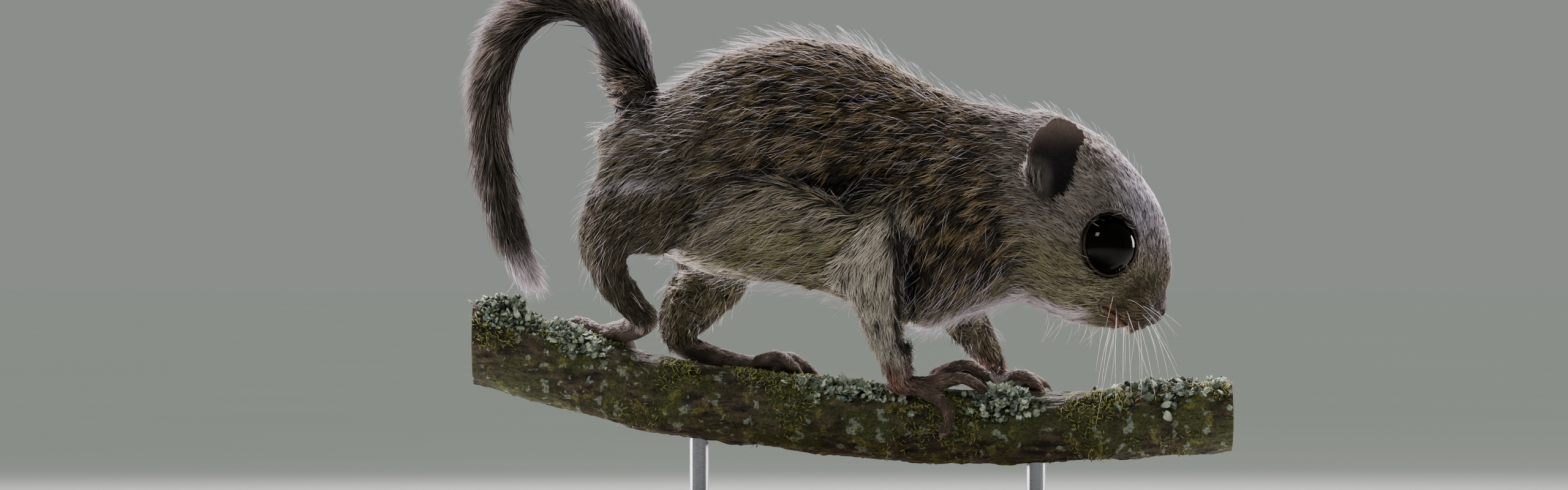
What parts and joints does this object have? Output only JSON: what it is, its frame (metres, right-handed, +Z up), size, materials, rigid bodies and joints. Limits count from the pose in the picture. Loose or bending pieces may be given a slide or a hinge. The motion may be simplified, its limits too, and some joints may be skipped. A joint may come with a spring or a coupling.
{
  "type": "flying squirrel model",
  "caption": "Still, life-size model of a young flying squirrel walking along a cut length of lichen-covered branch, tail arched over its rump, on a plain stand.",
  "frame": {"origin": "middle of the underside of the stand's base", "axes": "+X the way the squirrel faces, along the branch; +Y to its left; +Z up"},
  "size_m": [0.127, 0.054, 0.0982],
  "materials": {
    "back_coat": "short dense fur, mottled warm brown over slate",
    "head_coat": "short fur, grey-brown, paler on cheeks and muzzle",
    "pale_coat": "short soft fur, cream",
    "tail_coat": "long soft fur, brown-grey with a pale tip",
    "eye": "gloss black",
    "ear_skin": "thin bare skin",
    "paw_skin": "bare skin and fine fur, horn claws",
    "bark": "rough bark with moss and leafy lichen",
    "stand_wood": "dark satin wood",
    "stand_steel": "satin"
  },
  "bodies": {
    "root": {"torso": "back_coat", "neck": "back_coat", "head": "head_coat", "eye_right": "eye", "eye_left": "eye", "ear_right": "ear_skin", "ear_left": "ear_skin", "foreleg_right": "pale_coat", "foreleg_left": "pale_coat", "hindleg_right": "back_coat", "hindleg_left": "back_coat", "hand_right": "paw_skin", "hand_left": "paw_skin", "foot_right": "paw_skin", "foot_left": "paw_skin", "membrane_right": "pale_coat", "membrane_left": "pale_coat", "tail_base": "tail_coat", "tail_rise": "tail_coat", "tail_arch": "tail_coat", "tail_drop": "tail_coat", "perch_branch": "bark", "stand_base": "stand_wood", "stand_rod_rear": "stand_steel", "stand_rod_front": "stand_steel"}
  },
  "joints": []
}
